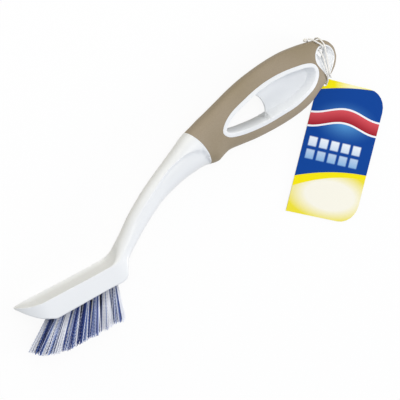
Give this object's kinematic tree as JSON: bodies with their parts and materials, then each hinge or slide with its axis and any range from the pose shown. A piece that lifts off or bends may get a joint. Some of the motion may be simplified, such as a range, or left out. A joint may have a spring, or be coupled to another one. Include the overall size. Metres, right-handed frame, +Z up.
{
  "type": "scrub brush",
  "caption": "Grout scrub brush: narrow boat-shaped head with slanted bristle tufts, cranked neck, soft looped grip and a card tag on a string.",
  "frame": {"origin": "middle of the brush's outline, tag left out, on the flat side that it lies on", "axes": "+X from the nose of the head to the butt of the grip, +Y towards the brush's back, away from the bristles, +Z up from the side that it lies on"},
  "size_m": [0.2866, 0.126, 0.02],
  "materials": {
    "white_polypropylene": "moulded, satin",
    "soft_grip": "soft overmoulded skin, matt",
    "bristle": "crimped filament, blue and clear mixed",
    "anchor_wire": "flat wire",
    "printed_card": "coated and printed",
    "elastic_string": "braided elastic"
  },
  "bodies": {
    "brush": {"handle_body": "white_polypropylene", "grip_overmould": "soft_grip", "tuft_left_1": "bristle", "tuft_left_2": "bristle", "tuft_left_3": "bristle", "tuft_left_4": "bristle", "tuft_left_5": "bristle", "tuft_left_6": "bristle", "tuft_left_7": "bristle", "tuft_middle_1": "bristle", "tuft_middle_2": "bristle", "tuft_middle_3": "bristle", "tuft_middle_4": "bristle", "tuft_middle_5": "bristle", "tuft_middle_6": "bristle", "tuft_middle_7": "bristle", "tuft_right_1": "bristle", "tuft_right_2": "bristle", "tuft_right_3": "bristle", "tuft_right_4": "bristle", "tuft_right_5": "bristle", "tuft_right_6": "bristle", "tuft_right_7": "bristle", "anchor_left_1": "anchor_wire", "anchor_left_2": "anchor_wire", "anchor_left_3": "anchor_wire", "anchor_left_4": "anchor_wire", "anchor_left_5": "anchor_wire", "anchor_left_6": "anchor_wire", "anchor_left_7": "anchor_wire", "anchor_middle_1": "anchor_wire", "anchor_middle_2": "anchor_wire", "anchor_middle_3": "anchor_wire", "anchor_middle_4": "anchor_wire", "anchor_middle_5": "anchor_wire", "anchor_middle_6": "anchor_wire", "anchor_middle_7": "anchor_wire", "anchor_right_1": "anchor_wire", "anchor_right_2": "anchor_wire", "anchor_right_3": "anchor_wire", "anchor_right_4": "anchor_wire", "anchor_right_5": "anchor_wire", "anchor_right_6": "anchor_wire", "anchor_right_7": "anchor_wire", "tag_string": "elastic_string", "string_knot": "elastic_string"},
    "tag": {"tag_card": "printed_card"}
  },
  "joints": [
    {"name": "tag_swing", "type": "hinge", "parent": "brush", "child": "tag", "pos_m": [0.12051, 0.01881, 0.0037], "axis": [-0.0189, -0.0251, 0.9995], "range_deg": [0, 40]}
  ]
}
